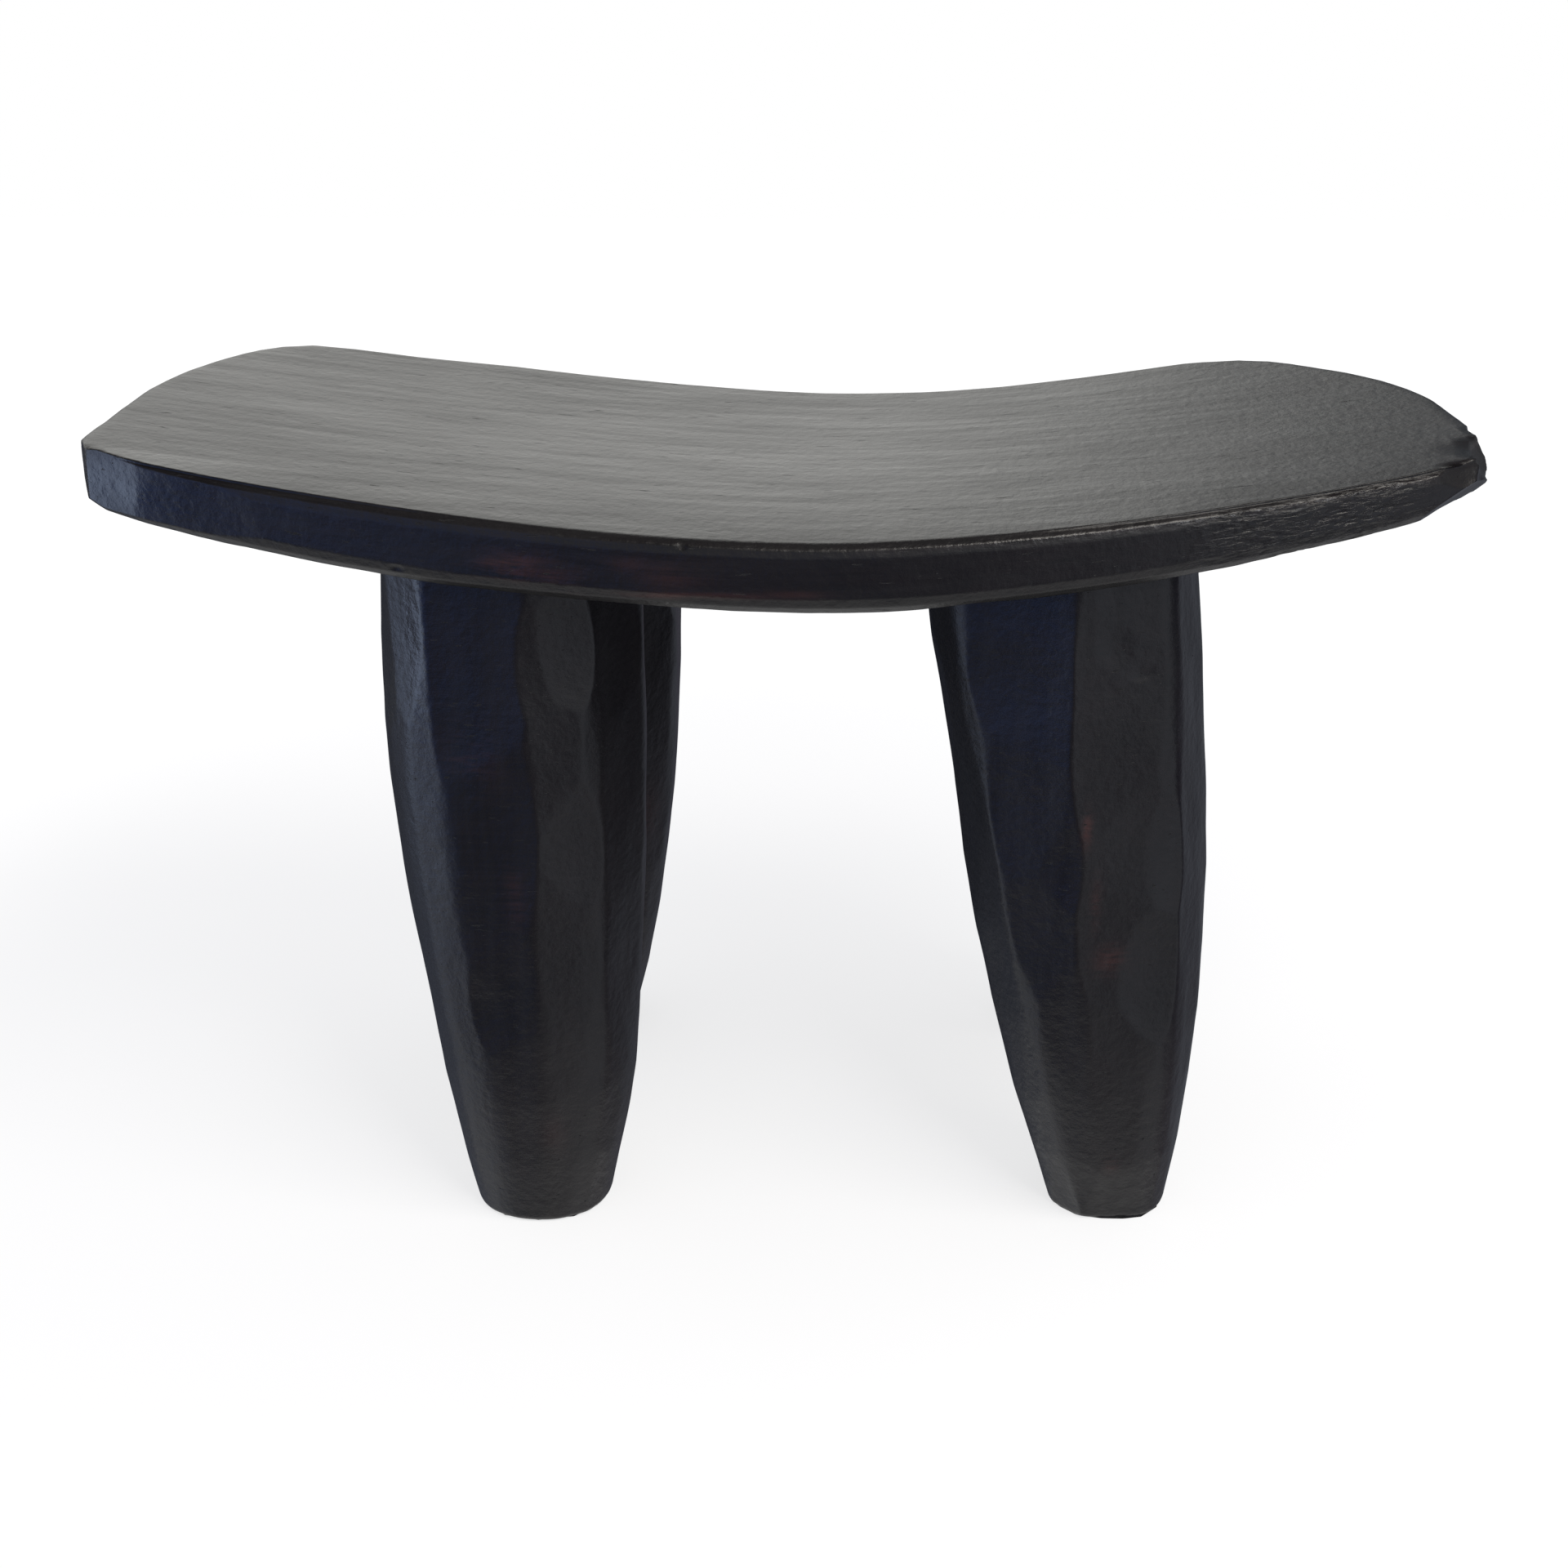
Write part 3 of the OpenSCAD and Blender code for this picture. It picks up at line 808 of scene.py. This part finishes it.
def adze_tree():
    tree, put, given = new_tree("adze cuts", ADZE_INPUTS)
    density = put("GeometryNodeInputNamedAttribute", "carve", data_type="FLOAT")
    seed = given["Seed"]
    scattered = put(
        "GeometryNodeDistributePointsOnFaces", given["Geometry"], distribute_method="POISSON",
        distance_min=given["Spacing"], density_max=CANDIDATES, density_factor=density, seed=seed,
    )
    back = put("ShaderNodeMath", given["Tilt"], -1.0, operation="MULTIPLY")
    tilt = put("FunctionNodeRandomValue", back, given["Tilt"], seed=seed, data_type="FLOAT_VECTOR")
    facing = put("ShaderNodeVectorMath", scattered["Normal"], tilt, operation="ADD")
    share = put("FunctionNodeRandomValue", SHALLOWEST, 1.0, seed=seed, data_type="FLOAT")
    swing_way = put("GeometryNodeInputNamedAttribute", "swing_way", data_type="FLOAT_VECTOR")
    made = {
        "facing": put("ShaderNodeVectorMath", facing, operation="NORMALIZE"),
        "swing_way": swing_way["Attribute"],
        "depth": put("ShaderNodeMath", given["Depth"], share, operation="MULTIPLY"),
        "blade": given["Blade radius"],
        "swing": given["Swing radius"],
        "softness": given["Softness"],
    }
    cuts = scattered["Points"]
    for name, kind in CUT_FIELDS.items():
        cuts = put(
            "GeometryNodeStoreNamedAttribute", cuts, name=name, value=made[name], data_type=kind,
            domain="POINT",
        )
    by_hand = put("GeometryNodeObjectInfo", given["Hand cuts"])["Geometry"]
    by_hand = put("GeometryNodeMeshToPoints", by_hand)
    cuts = put("GeometryNodeJoinGeometry", [cuts, by_hand])
    count = put("GeometryNodeAttributeDomainSize", cuts, component="POINTCLOUD")

    start = tree.nodes.new("GeometryNodeRepeatInput")
    finish = tree.nodes.new("GeometryNodeRepeatOutput")
    start.pair_with_output(finish)
    tree.links.new(count["Point Count"], start.inputs["Iterations"])
    tree.links.new(given["Geometry"], start.inputs["Geometry"])
    turn = start.outputs["Iteration"]
    cut = {}
    for name, kind in CUT_FIELDS.items():
        field = put("GeometryNodeInputNamedAttribute", name, data_type=kind)["Attribute"]
        cut[name] = put("GeometryNodeSampleIndex", cuts, field, turn, data_type=kind, domain="POINT")
    place = put("GeometryNodeInputPosition")
    centre = put(
        "GeometryNodeSampleIndex", cuts, place, turn, data_type="FLOAT_VECTOR", domain="POINT",
    )
    offset = put("ShaderNodeVectorMath", place, centre, operation="SUBTRACT")
    across = put("ShaderNodeVectorMath", cut["facing"], cut["swing_way"], operation="CROSS_PRODUCT")
    across = put("ShaderNodeVectorMath", across, operation="NORMALIZE")
    along = put("ShaderNodeVectorMath", across, cut["facing"], operation="CROSS_PRODUCT")
    hollow = put("ShaderNodeMath", cut["depth"], -1.0, operation="MULTIPLY")
    for way, radius in ((across, cut["blade"]), (along, cut["swing"])):
        reach = put("ShaderNodeVectorMath", offset, way, operation="DOT_PRODUCT")
        square = put("ShaderNodeMath", reach, reach, operation="MULTIPLY")
        width = put("ShaderNodeMath", radius, 2.0, operation="MULTIPLY")
        bend = put("ShaderNodeMath", square, width, operation="DIVIDE")
        hollow = put("ShaderNodeMath", hollow, bend, operation="ADD")
    height = put("ShaderNodeVectorMath", offset, cut["facing"], operation="DOT_PRODUCT")
    above = put("ShaderNodeMath", height, hollow, operation="SUBTRACT")
    shaved = put("ShaderNodeMath", above, 0.0, cut["softness"], operation="SMOOTH_MAX")
    down = put("ShaderNodeMath", shaved, -1.0, operation="MULTIPLY")
    push = put("ShaderNodeVectorMath", cut["facing"], scale=down, operation="SCALE")
    carved = put("GeometryNodeSetPosition", start.outputs["Geometry"], offset=push)
    tree.links.new(carved[0], finish.inputs["Geometry"])

    # The whole surface is a little uneven, as hand work is
    wave = put("ShaderNodeTexNoise", place, 1 / UNEVEN_CELL, 2.0)["Fac"]
    wave = put("ShaderNodeMath", wave, 0.5, operation="SUBTRACT")
    wave = put("ShaderNodeMath", wave, given["Unevenness"], operation="MULTIPLY")
    where = put("GeometryNodeInputNamedAttribute", "uneven", data_type="FLOAT")
    wave = put("ShaderNodeMath", wave, where, operation="MULTIPLY")
    close_tree(put, given, finish.outputs["Geometry"], wave)
    return tree


ADZE = adze_tree()


def apply_tree(piece, tree, **values):
    """Run a tree on a piece with the inputs that values name, and keep the plain mesh."""
    modifier = piece.modifiers.new(tree.name, "NODES")
    modifier.node_group = tree
    for item in tree.interface.items_tree:
        key = item.name.replace(" ", "_").lower()
        if item.item_type == "SOCKET" and item.in_out == "INPUT" and key in values:
            modifier[item.identifier] = values[key]
    graph = bpy.context.evaluated_depsgraph_get()
    mesh = bpy.data.meshes.new_from_object(piece.evaluated_get(graph))
    piece.modifiers.clear()
    piece.data = mesh
    mesh.name = piece.name


print("adze tree:", len(ADZE.nodes), "nodes")

# %% [markdown]
# Weather has opened the grain at the right end of the seat's edge: long thin fissures, with ridges
# between them. The same tree, used very lightly, leaves the scraper's long tracks on the seat's top.
# It lowers the net along stretched noise, which follows the dish through an attribute.

# %% Opened grain with Geometry Nodes
GRAIN_INPUTS = {
    "Fissure depth": 0.55 * MM, "Fissure length": 22 * MM, "Fissure width": 2.6 * MM,
    "Track depth": 0.10 * MM, "Track length": 120 * MM, "Track width": 12 * MM,
    "Material": "Material",
}
# The values of the noise between which a fissure goes from none to full. Tracks take it as it is.
FISSURE_SPAN = (0.52, 0.36)


def grain_tree():
    tree, put, given = new_tree("opened grain", GRAIN_INPUTS)
    dish = put("GeometryNodeInputNamedAttribute", "dish", data_type="FLOAT")
    raised = put("ShaderNodeCombineXYZ", 0.0, 0.0, dish)
    place = put("ShaderNodeVectorMath", put("GeometryNodeInputPosition"), raised, operation="SUBTRACT")
    depths = []
    for kind, mark, span in (("Fissure", "open_grain", FISSURE_SPAN), ("Track", "scraped", None)):
        width = given[kind + " width"]
        cell = put("ShaderNodeCombineXYZ", given[kind + " length"], width, width)
        cells = put("ShaderNodeVectorMath", place, cell, operation="DIVIDE")
        depth = put("ShaderNodeTexNoise", cells, 1.0, 3.0, 0.6)["Fac"]
        if span:
            depth = put("ShaderNodeMapRange", depth, *span, interpolation_type="SMOOTHSTEP")
        share = put("GeometryNodeInputNamedAttribute", mark, data_type="FLOAT")
        for factor in (share, given[kind + " depth"]):
            depth = put("ShaderNodeMath", depth, factor, operation="MULTIPLY")
        depths.append(depth)
    depth = put("ShaderNodeMath", *depths, operation="ADD")
    depth = put("ShaderNodeMath", depth, -1.0, operation="MULTIPLY")
    close_tree(put, given, given["Geometry"], depth)
    return tree


OPENED_GRAIN = grain_tree()
print("grain tree:", len(OPENED_GRAIN.nodes), "nodes")

# %% [markdown]
# A listed cut is a point with a facing, a direction of the swing, a depth, two radii and the
# softness of its rim. Each is placed by a ray from inside the piece, so that it sits on the surface
# wherever that lies.

# %% Listed cuts
UPRIGHT = Vector((0, 0, 1))
FLAT = 4000


def towards(bearing, rise=0.0):
    """Unit vector at a bearing from the front, to the right, and a rise, in degrees."""
    bearing, rise = math.radians(bearing), math.radians(rise)
    return Vector((
        math.sin(bearing) * math.cos(rise), -math.cos(bearing) * math.cos(rise), math.sin(rise),
    ))


def hand_cuts(piece, cuts):
    """An object of points, one for each cut: where its ray starts, the ray's way and the cut's facing
    as bearing and rise, its depth, blade and swing radius and softness in millimetres."""
    surface = surface_of(piece)
    rows = []
    for start, way, facing, *lengths in cuts:
        place = surface.ray_cast(start, towards(*way))[0]
        rows.append((place, towards(*facing), UPRIGHT, *(length * MM for length in lengths)))
    mesh = bpy.data.meshes.new("cuts")
    mesh.from_pydata([row[0] for row in rows], [], [])
    holder = bpy.data.objects.new("cuts_" + piece.name, mesh)
    columns = list(zip(*rows))[1:]
    write_marks(holder, **dict(zip(CUT_FIELDS, columns)))
    bpy.context.scene.collection.objects.link(holder)
    holder.hide_render = True
    return holder


# %% [markdown]
# Cuts of the legs. The broad ones tilt a part of a flat, so that it catches other light. The small
# ones are nicks, where the corner of the blade bit in.

# %% Cuts of the legs
# Each cut: height and bearing of its middle, bearing and rise of its facing, depth, blade and swing
# radius and softness of its rim, all lengths in millimetres
LEG_CUTS = {
    "front_right_leg": [
        (333, 14, 18, 10, 0.7, 60, 70, 0.2),
        (325, 26, 24, 26, 0.5, 24, 6, 0.1),
        (317, 14, 14, 28, 0.5, 20, 5, 0.1),
        (250, 30, 24, -3, 0.6, 300, 300, 0.3),
        (300, -28, -22, 4, 0.6, 300, 300, 0.3),
        (235, -20, -16, -4, 0.6, 300, 300, 0.3),
        (140, 15, 20, 4, 0.6, 200, 300, 0.4),
    ],
    "front_left_leg": [
        (338, -38, -43, 3, 0.8, FLAT, 500, 0.1),
        (330, -58, -60, 2, 1.6, FLAT, 600, 0.2),
        (319, 24, 24, 9, 1.3, 300, 150, 0.1),
        (350, 26, 14, -3, 1.2, FLAT, 200, 0.1),
        (345, 60, 62, 0, 1.0, 400, 600, 0.2),
        (284, -12, -10, 5, 0.7, 200, 200, 0.3),
        (210, 28, 24, 4, 0.6, 300, 300, 0.3),
        (150, -8, -8, -4, 0.6, 300, 300, 0.4),
    ],
    "back_left_leg": [
        (300, 80, 76, 4, 1.5, 200, 300, 0.4),
        (120, 150, 148, -4, 1.5, 200, 300, 0.4),
    ],
    "back_right_leg": [
        (290, 160, 156, 4, 1.5, 200, 300, 0.4),
        (140, 200, 204, -4, 1.5, 200, 300, 0.4),
    ],
}


def leg_cuts(node, leg):
    foot, end = leg_axis(node)
    cuts = []
    for height, bearing, facing, rise, *lengths in LEG_CUTS[node]:
        start = Vector(foot + (end - foot) * (height * MM / end[2]))
        cuts.append((start, (bearing,), (facing, rise), *lengths))
    return hand_cuts(leg, cuts)


# %% [markdown]
# Cuts of the seat. A chisel rounded its front left corner in a row of upright facets. At the right
# end the edge is chipped and its corner cut away below, and left of the middle it has a dent.

# %% Cuts of the seat
# Each cut: place along the seat, how far the ray starts behind the front edge, bearing and rise of the
# ray, bearing and rise of the facing, depth, blade and swing radius and softness, in millimetres
SEAT_CUTS = [
    (-322, 50, -50, 0, -66, 2, 0.8, FLAT, FLAT, 0.2),
    (-322, 50, -12, 0, -44, 5, 1.0, FLAT, FLAT, 0.15),
    (-303, 50, 0, 0, -28, 2, 0.6, FLAT, FLAT, 0.1),
    (-300, 50, 0, 0, -38, 3, 0.45, 14, 400, 0.1),
    (-291, 50, 0, 0, -34, 3, 0.35, 12, 300, 0.1),
    (-287, 50, 0, 0, -20, 1, 0.35, FLAT, FLAT, 0.1),
    (-272, 50, 0, 0, -17, 0, 0.3, FLAT, FLAT, 0.1),
    (-254, 50, 0, 0, -14.5, -1, 0.3, FLAT, FLAT, 0.1),
    (-41, 50, 0, 16, -2, 30, 0.8, 3, 3, 0.1),
    (-180, 50, 0, -14, -8, -20, 0.8, 5, 3, 0.1),
    (322, 60, 38, 0, 40, 12, 1.0, 30, 40, 0.3),
    (312, 60, 22, 6, 26, 36, 1.6, 50, 40, 0.4),
    (322, 70, 50, 8, 50, 40, 2.2, 40, 50, 0.4),
    (322, 80, 72, 6, 76, 28, 0.6, 34, 40, 0.4),
    (318, 60, 46, -10, 48, -44, 1.2, 500, 500, 0.4),
    (322, 75, 64, 9, 60, 40, 0.9, 6, 8, 0.1),
    (322, 66, 50, 2, 50, 0, 0.6, 9, 7, 0.1),
]


def seat_cuts():
    cuts = []
    for x, behind, way_bearing, way_rise, facing, rise, *lengths in SEAT_CUTS:
        front = rim[numpy.argmin(abs(rim[:, 0] - x * MM) + (rim[:, 1] > 0)), 1]
        middle_z = (seat_top(x * MM) + seat_under(x * MM)) / 2
        start = Vector((x * MM, front + behind * MM, middle_z))
        cuts.append((start, (way_bearing, way_rise), (facing, rise), *lengths))
    return hand_cuts(seat, cuts)


# %% [markdown]
# The seat: its underside is hewn, its edge is a little uneven, its grain is open at the right end, and
# its top is worn smooth but for long faint scraper tracks.

# %% Carve the seat
SEAT_RINGS = UNDER_RINGS + EDGE_RINGS + TOP_RINGS
OPEN_GRAIN_START = 190 * MM
OPEN_GRAIN_FULL = 225 * MM
OPEN_GRAIN_END = 325 * MM
OPEN_GRAIN_BACK = -60 * MM
# It fades in the last of this many equal parts
OPEN_GRAIN_PARTS = 3

seat_ring = ring_numbers(SEAT_RINGS, SEAT_SEGMENTS)
seat_points = points_of(seat)
on_top = seat_ring >= UNDER_RINGS + EDGE_RINGS
on_edge = (seat_ring >= UNDER_RINGS) & ~on_top


def dish_of(points):
    """How far the dish lifts the seat at each point, above its middle."""
    return seat_top(points[:, 0]) - seat_top(middle)[0]


def open_grain_of(points):
    """Where weather opened the grain: the front edge towards the right end."""
    x = points[:, 0]
    come = ramp(x, OPEN_GRAIN_START, OPEN_GRAIN_FULL)
    go = numpy.minimum(ramp(x, OPEN_GRAIN_END, OPEN_GRAIN_FULL) * OPEN_GRAIN_PARTS, 1)
    return come * go * (points[:, 1] < OPEN_GRAIN_BACK)


write_marks(
    seat, carve=~(on_top | on_edge), uneven=numpy.where(on_top, 0.5, 1.0), dish=dish_of(seat_points),
    open_grain=open_grain_of(seat_points) * on_edge, scraped=on_top,
    swing_way=numpy.tile([1.0, 0.0, 0.0], (len(seat_points), 1)),
)
apply_tree(
    seat, ADZE, hand_cuts=seat_cuts(), spacing=34 * MM, depth=0.9 * MM, blade_radius=180 * MM,
    swing_radius=500 * MM, tilt=0.05, softness=0.5 * MM, unevenness=1.2 * MM, seed=3, material=WOOD,
)
apply_tree(seat, OPENED_GRAIN, material=WOOD)
print("carved seat:", (numpy.ptp(points_of(seat), axis=0) / MM).round(1), "mm")

# %% [markdown]
# Each leg's tenon needs its socket, so four round holes are bored into the seat with a Boolean.

# %% Bore the sockets
SOCKET_GAP = 0.25 * MM
SOCKET_FACES = 96
SOCKET_CLEAR = 2 * MM
BELOW_SEAT = 20 * MM


def socket_cutter(node):
    end = leg_axis(node)[1]
    inside_tenon = Vector(end) - Vector((0, 0, BELOW_TENON_END))
    reach = (solid_of(node).ray_cast(inside_tenon, Vector((1, 0, 0)))[0] - Vector(end)).x
    low = seat_under(end[:1])[0] - BELOW_SEAT
    high = end[2] + SOCKET_CLEAR
    circle = compass(SOCKET_FACES) * (reach + SOCKET_GAP)
    rings = [numpy.array((end[0], end[1], z)) + circle for z in (low, high)]
    return skin("socket_" + node, rings, (end[0], end[1], low), (end[0], end[1], high))


LEGS = list(RIDGES)
cutters = [socket_cutter(node) for node in LEGS]
for cutter in cutters:
    bore = seat.modifiers.new("bore", "BOOLEAN")
    bore.operation = "DIFFERENCE"
    bore.solver = "EXACT"
    bore.object = cutter
graph = bpy.context.evaluated_depsgraph_get()
bored = bpy.data.meshes.new_from_object(seat.evaluated_get(graph))
seat.modifiers.clear()
seat.data = bored
for cutter in cutters:
    bpy.data.objects.remove(cutter)
print("bored seat:", len(seat.data.polygons), "faces")

# %% [markdown]
# The legs are hewn all round. After the cuts each shoulder is scribed to the carved underside, so no
# gap shows under the seat, and the sole is laid flat on the floor.

# %% Carve the legs
SCRIBE_GAP = 0.05 * MM
SCRIBE_REACH = 9 * MM
CARVE_CLEAR_RINGS = 4

pieces = {"seat": seat}
seat_now = surface_of(seat)

for index, node in enumerate(LEGS):
    rings, foot, end, rim_ring = leg_net(node)
    leg = skin(node.replace("_leg", "_hewn_leg"), rings, foot, end)
    ring_of = ring_numbers(len(rings), LEG_SEGMENTS)
    soles = len(SOLE_SHARES)
    on_side = (ring_of >= soles + CARVE_CLEAR_RINGS) & (ring_of < rim_ring - CARVE_CLEAR_RINGS)
    write_marks(
        leg, carve=on_side, uneven=(ring_of >= soles) & (ring_of < rim_ring),
        swing_way=numpy.tile([0.0, 0.0, 1.0], (len(ring_of), 1)),
    )
    apply_tree(
        leg, ADZE, hand_cuts=leg_cuts(node, leg), spacing=26 * MM, depth=0.45 * MM,
        blade_radius=320 * MM, swing_radius=900 * MM, tilt=0.025, softness=0.7 * MM,
        unevenness=0.9 * MM, seed=11 + index, material=WOOD,
    )
    points = points_of(leg)
    on_shoulder = (ring_of >= rim_ring - 1) & (ring_of < rim_ring + SHOULDER_RINGS)
    for point in numpy.flatnonzero(on_shoulder):
        x, y, z = points[point]
        hit = seat_now.ray_cast((x, y, z - BELOW_SEAT), (0, 0, 1))[0]
        if hit is not None and abs(hit.z - z) < SCRIBE_REACH:
            points[point, 2] = hit.z - SCRIBE_GAP
    points[ring_of < soles, 2] = 0
    points[:, 2] = numpy.maximum(points[:, 2], 0)
    move_points(leg, points)
    pieces[node] = leg
    print(leg.name, "is", (numpy.ptp(points, axis=0) / MM).round(1), "mm")

# %% [markdown]
# Marks of wear and of painted light are numbers stored on each piece's points, which the material
# reads: where it is rubbed to the red heartwood, where the lower legs are painted paler as a painted
# reflection of the floor, where an arris is worn and painted with a highlight, where weather split the
# edge's grain and where hands and clothes polish. The arris of the seat lies just under its top. Its
# line is partly worn wood and partly a painted highlight, and is strongest on the right, where the
# lamps catch it.

# %% Marks of wear and painted light
# The lower legs are painted paler towards the floor, a painted reflection of it: where that starts, where
# it is full, and its share
FLOOR_REFLECTION_TOP = 150 * MM
FLOOR_REFLECTION_FULL = 30 * MM
FLOOR_REFLECTION_SHARE = 0.6
# The arris line, partly worn wood and partly a painted highlight: its depth under the top, its half width,
# its share on the left, and where it grows to full on the right, where the lamps catch it
ARRIS_DEPTH = 4.2 * MM
ARRIS_WIDTH = 1.1 * MM
ARRIS_LEFT_SHARE = 0.25
ARRIS_GROWS = 20 * MM
ARRIS_FULL = 80 * MM
EDGE_FADE = 2 * MM
FOOT_RIM = 2.5 * MM
FOOT_WEAR = 0.5
WEATHER_SHINE = 0.5
FRONT_DEPTH = 60 * MM
# Sitting polishes the middle of the seat, over these half widths along x and y
SAT_ON = numpy.array((150, 90)) * MM
SAT_SHARE = 0.25
# Each patch: its middle along the bench and its height, its half width and half height in
# millimetres, and its strength. Rubbed patches have lost their stain.
RUBBED = {
    "seat": [
        (-124, 388, 17, 6, 0.9), (-104, 385, 14, 5, 0.4), (-46, 386, 16, 7, 0.35), (-66, 391, 10, 4, 0.3),
        (-40, 376, 34, 1.6, 0.9), (12, 377, 16, 2, 0.4),
    ],
    "front_left_leg": [(-151, 282, 12, 14, 0.35), (-133, 210, 5, 20, 0.3), (-120, 60, 6, 12, 0.3)],
    "front_right_leg": [
        (159, 247, 2.5, 9, 0.9), (175, 172, 8, 8, 0.6), (184, 40, 4, 6, 0.7), (166, 205, 3, 14, 0.4),
    ],
    "back_left_leg": [(-90, 160, 10, 20, 0.4)],
    "back_right_leg": [(110, 200, 12, 16, 0.4)],
}
# Polished patches shine: the corner where the seat is gripped, and the top of the leg below it
POLISHED = {
    "seat": [(-325, 416, 45, 14, 1.0)],
    "front_left_leg": [(-177, 350, 8, 50, 0.9)],
}


def patches_of(table, node, points):
    """The strength of a table's patches at each point of a node's piece, on its front side."""
    share = numpy.zeros(len(points))
    for x, z, half_width, half_height, strength in table.get(node, []):
        across = (points[:, 0] / MM - x) / half_width
        upwards = (points[:, 2] / MM - z) / half_height
        share = numpy.maximum(share, strength * numpy.exp(-(across ** 2) - upwards ** 2))
    return share * (points[:, 1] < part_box(node)[0].y + FRONT_DEPTH)


def arris_of(points):
    """Where the seat's upper arris is worn and painted with a highlight, strongest on the right."""
    below = seat_top(points[:, 0]) - points[:, 2]
    line = numpy.exp(-(((below - ARRIS_DEPTH) / ARRIS_WIDTH) ** 2))
    right = ramp(points[:, 0], ARRIS_GROWS, ARRIS_FULL)
    return line * (ARRIS_LEFT_SHARE + (1 - ARRIS_LEFT_SHARE) * right)


def edge_of(points):
    """1 on the seat's edge, fading out at its top and at its underside."""
    below = seat_top(points[:, 0]) - points[:, 2]
    above = points[:, 2] - seat_under(points[:, 0])
    return numpy.clip(numpy.minimum(below, above) / EDGE_FADE - 1, 0, 1)


for node, piece in pieces.items():
    points = points_of(piece)
    on_seat = node == "seat"
    # On the seat a line along the arris, partly worn wood and partly a painted highlight; on the legs the
    # worn rims of the feet
    worn = arris_of(points) if on_seat else FOOT_WEAR * (points[:, 2] < FOOT_RIM)
    weathered = open_grain_of(points) * edge_of(points) * on_seat
    sat_on = SAT_SHARE * numpy.exp(-((points[:, :2] / SAT_ON) ** 2).sum(axis=1)) * on_seat
    used = numpy.maximum(worn, WEATHER_SHINE * weathered + sat_on)
    # The painted floor reflection on the lower legs is stored with the marks of wear
    write_marks(
        piece, dish=dish_of(points) * on_seat, upright=numpy.full(len(points), not on_seat),
        rubbed=patches_of(RUBBED, node, points),
        dusty=ramp(points[:, 2], FLOOR_REFLECTION_TOP, FLOOR_REFLECTION_FULL) * FLOOR_REFLECTION_SHARE, worn=worn, weathered=weathered,
        polished=numpy.maximum(patches_of(POLISHED, node, points), used),
    )

# %% [markdown]
# Each piece replaces its node, rides on the bench's one body, and takes the slot of the stained wood.

# %% Hand the pieces over
for node, piece in pieces.items():
    piece.data.materials.clear()
    piece.data.materials.append(WOOD)
    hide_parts(node)
    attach(piece, "root")
    print(piece.name, len(piece.data.polygons), "faces")
for holder in [o for o in bpy.data.objects if o.name.startswith("cuts_")]:
    bpy.data.objects.remove(holder)
